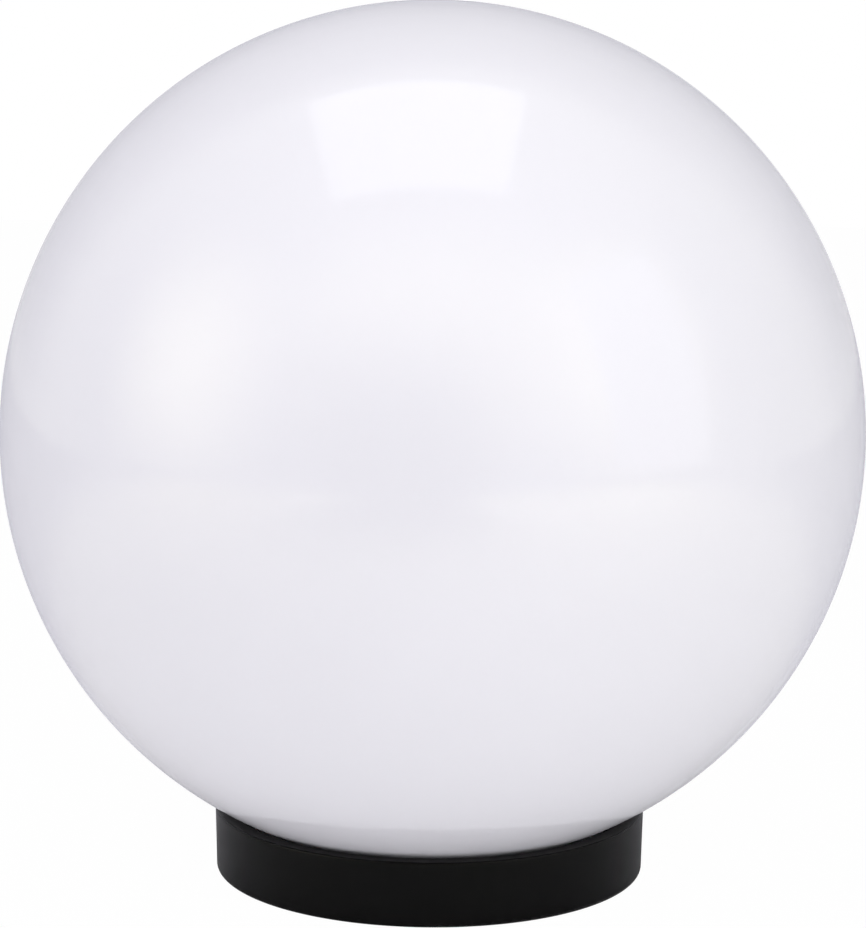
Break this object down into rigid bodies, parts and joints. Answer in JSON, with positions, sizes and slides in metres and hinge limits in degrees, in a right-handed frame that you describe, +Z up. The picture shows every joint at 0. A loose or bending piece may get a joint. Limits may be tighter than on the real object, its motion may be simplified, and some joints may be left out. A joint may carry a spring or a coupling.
{
  "type": "garden globe light",
  "caption": "Opal globe garden light: a white spherical shade with a bayonet neck on a low round black base, with a lampholder and screw-cap bulb inside.",
  "frame": {"origin": "centre of the base's underside, on the surface it stands on", "axes": "+Z up along the globe's axis; +X towards the terminal block, -Y is the side that the picture shows, towards the cable entry"},
  "size_m": [0.25, 0.25, 0.2543],
  "materials": {
    "opal_acrylic": "gloss",
    "seal_silicone": "satin",
    "black_moulding": "satin",
    "gasket_foam": "matte",
    "grommet_rubber": "matte",
    "clamp_polyamide": "satin",
    "zinc_steel": "satin",
    "plain_brass": "satin",
    "white_porcelain": "gloss",
    "nickel_brass": "bright",
    "spring_brass": "satin",
    "lead_brown": "satin",
    "lead_blue": "satin",
    "tinned_copper": "satin",
    "bulb_opal": "satin",
    "bulb_white": "satin",
    "nickel_cap": "bright",
    "black_glass": "gloss",
    "solder_tip": "satin",
    "white_board": "satin",
    "led_phosphor": "satin",
    "driver_board": "satin"
  },
  "bodies": {
    "base": {"base": "black_moulding", "mounting_gasket": "gasket_foam", "cable_grommet": "grommet_rubber", "cord_clamp_bar": "clamp_polyamide", "cord_clamp_screws": "zinc_steel", "terminal_block_body": "clamp_polyamide", "terminal_block_tubes": "plain_brass", "terminal_block_screws": "zinc_steel", "terminal_block_fixing_screw": "zinc_steel", "lampholder_body": "white_porcelain", "lampholder_screws": "zinc_steel", "lampholder_shell": "nickel_brass", "lampholder_terminals": "plain_brass", "lampholder_terminal_screws": "zinc_steel", "lead_wire_live": "lead_brown", "lead_wire_neutral": "lead_blue", "lead_ferrules": "tinned_copper"},
    "seal": {"neck_seal": "seal_silicone"},
    "globe": {"globe": "opal_acrylic"},
    "contact": {"lampholder_contact": "spring_brass"},
    "bulb_slide": {"bulb_centre_contact": "solder_tip"},
    "bulb": {"bulb_diffuser": "bulb_opal", "bulb_housing": "bulb_white", "bulb_screw_cap": "nickel_cap", "bulb_insulator": "black_glass", "bulb_led_board": "white_board", "bulb_leds": "led_phosphor", "bulb_driver": "driver_board"}
  },
  "joints": [
    {"name": "globe_lift", "type": "slide", "parent": "base", "child": "seal", "axis": [0, 0, 1], "range_m": [0, 0.15]},
    {"name": "globe_twist", "type": "hinge", "parent": "seal", "child": "globe", "pos_m": [0, 0, 0.0105], "axis": [0, 0, 1], "range_deg": [-30, 0]},
    {"name": "bulb_turn", "type": "hinge", "parent": "bulb_slide", "child": "bulb", "pos_m": [0, 0, 0.03], "axis": [0, 0, 1], "range_deg": [0, 2160]},
    {"name": "bulb_rise", "type": "slide", "parent": "base", "child": "bulb_slide", "axis": [0, 0, 1], "range_m": [0, 0.02178]},
    {"name": "contact_press", "type": "hinge", "parent": "base", "child": "contact", "pos_m": [0, 0.01, 0.0225], "axis": [1, 0, 0], "range_deg": [0, 3], "stiffness_Nm_per_rad": 0.05}
  ],
  "couplings": [
    {"joint": "bulb_rise", "follows": "bulb_turn", "m_per_rad": 0.00057751}
  ]
}
